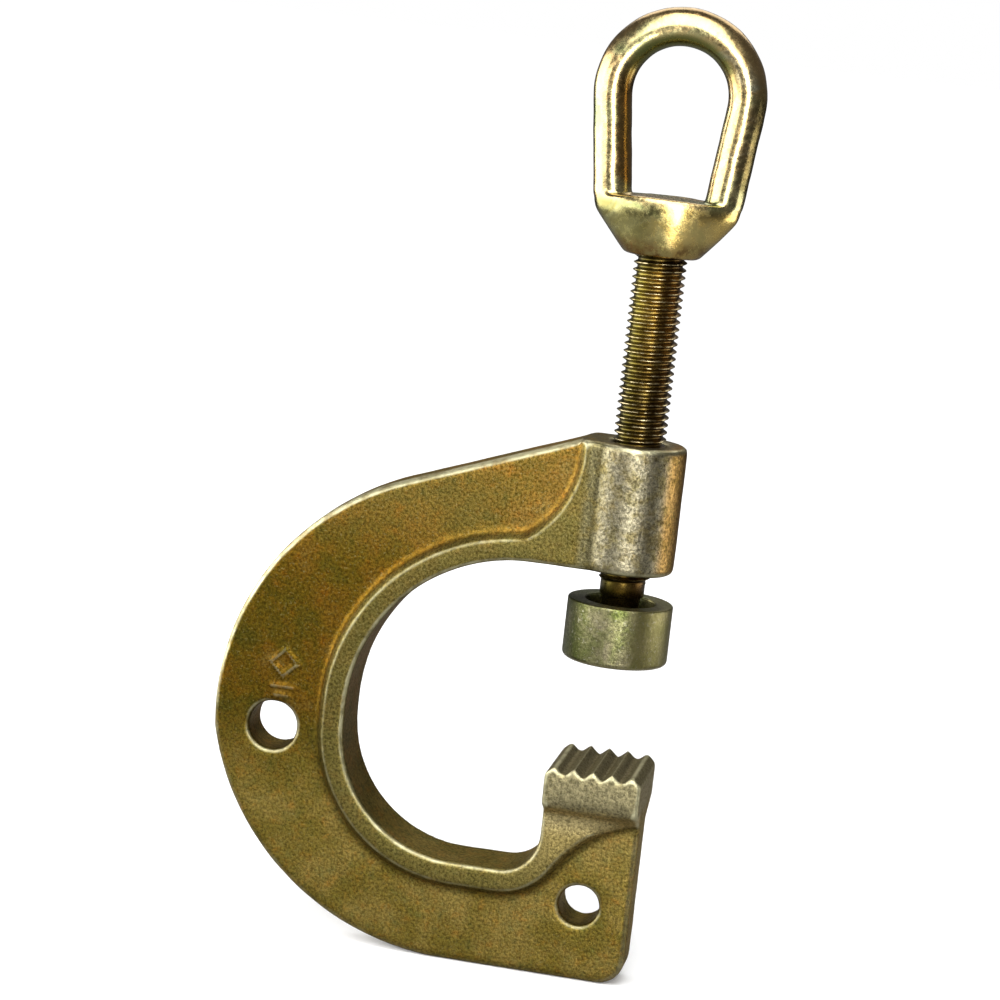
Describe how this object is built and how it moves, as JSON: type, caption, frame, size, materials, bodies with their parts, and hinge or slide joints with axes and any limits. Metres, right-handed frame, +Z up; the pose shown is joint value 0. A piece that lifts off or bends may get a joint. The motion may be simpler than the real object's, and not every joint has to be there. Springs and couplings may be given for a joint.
{
  "type": "beam clamp",
  "caption": "C-shaped forged clamp with a toothed jaw; a screw with a forged lifting eye drives a round swivelling pressure pad down onto a beam flange.",
  "frame": {"origin": "spindle axis at the level of the jaw teeth's tips, mid-thickness of the frame", "axes": "+Z up the spindle towards the eye, +X out of the mouth of the C, Y across the frame's thickness"},
  "size_m": [0.165, 0.039, 0.3336],
  "materials": {
    "frame_forging": "yellow zinc plate over a blasted forging, worn to silver along the edges",
    "spindle_steel": "rolled thread, dark bronze zinc plate with an oil film",
    "eye_plating": "bright yellow zinc plate over a smooth forging",
    "pad_plating": "turned steel, olive zinc plate",
    "spring_steel": "plain spring steel, oiled"
  },
  "bodies": {
    "frame": {"c_frame": "frame_forging"},
    "pad_carrier": {"pad_retaining_ring": "spring_steel"},
    "screw": {"spindle": "spindle_steel", "lifting_eye": "eye_plating", "eye_lock_pin": "spring_steel"},
    "pad": {"pressure_pad": "pad_plating"}
  },
  "joints": [
    {"name": "screw_travel", "type": "slide", "parent": "frame", "child": "pad_carrier", "axis": [0, 0, 1], "range_m": [-0.0354, 0.0104]},
    {"name": "screw_turn", "type": "hinge", "parent": "pad_carrier", "child": "screw", "pos_m": [0, 0, 0.1], "axis": [0, 0, 1], "range_deg": [-5090, 1490]},
    {"name": "pad_swivel", "type": "hinge", "parent": "pad_carrier", "child": "pad", "pos_m": [0, 0, 0.045], "axis": [0, 0, 1], "continuous": true}
  ],
  "couplings": [
    {"joint": "screw_travel", "follows": "screw_turn", "m_per_rad": 0.00039789}
  ]
}
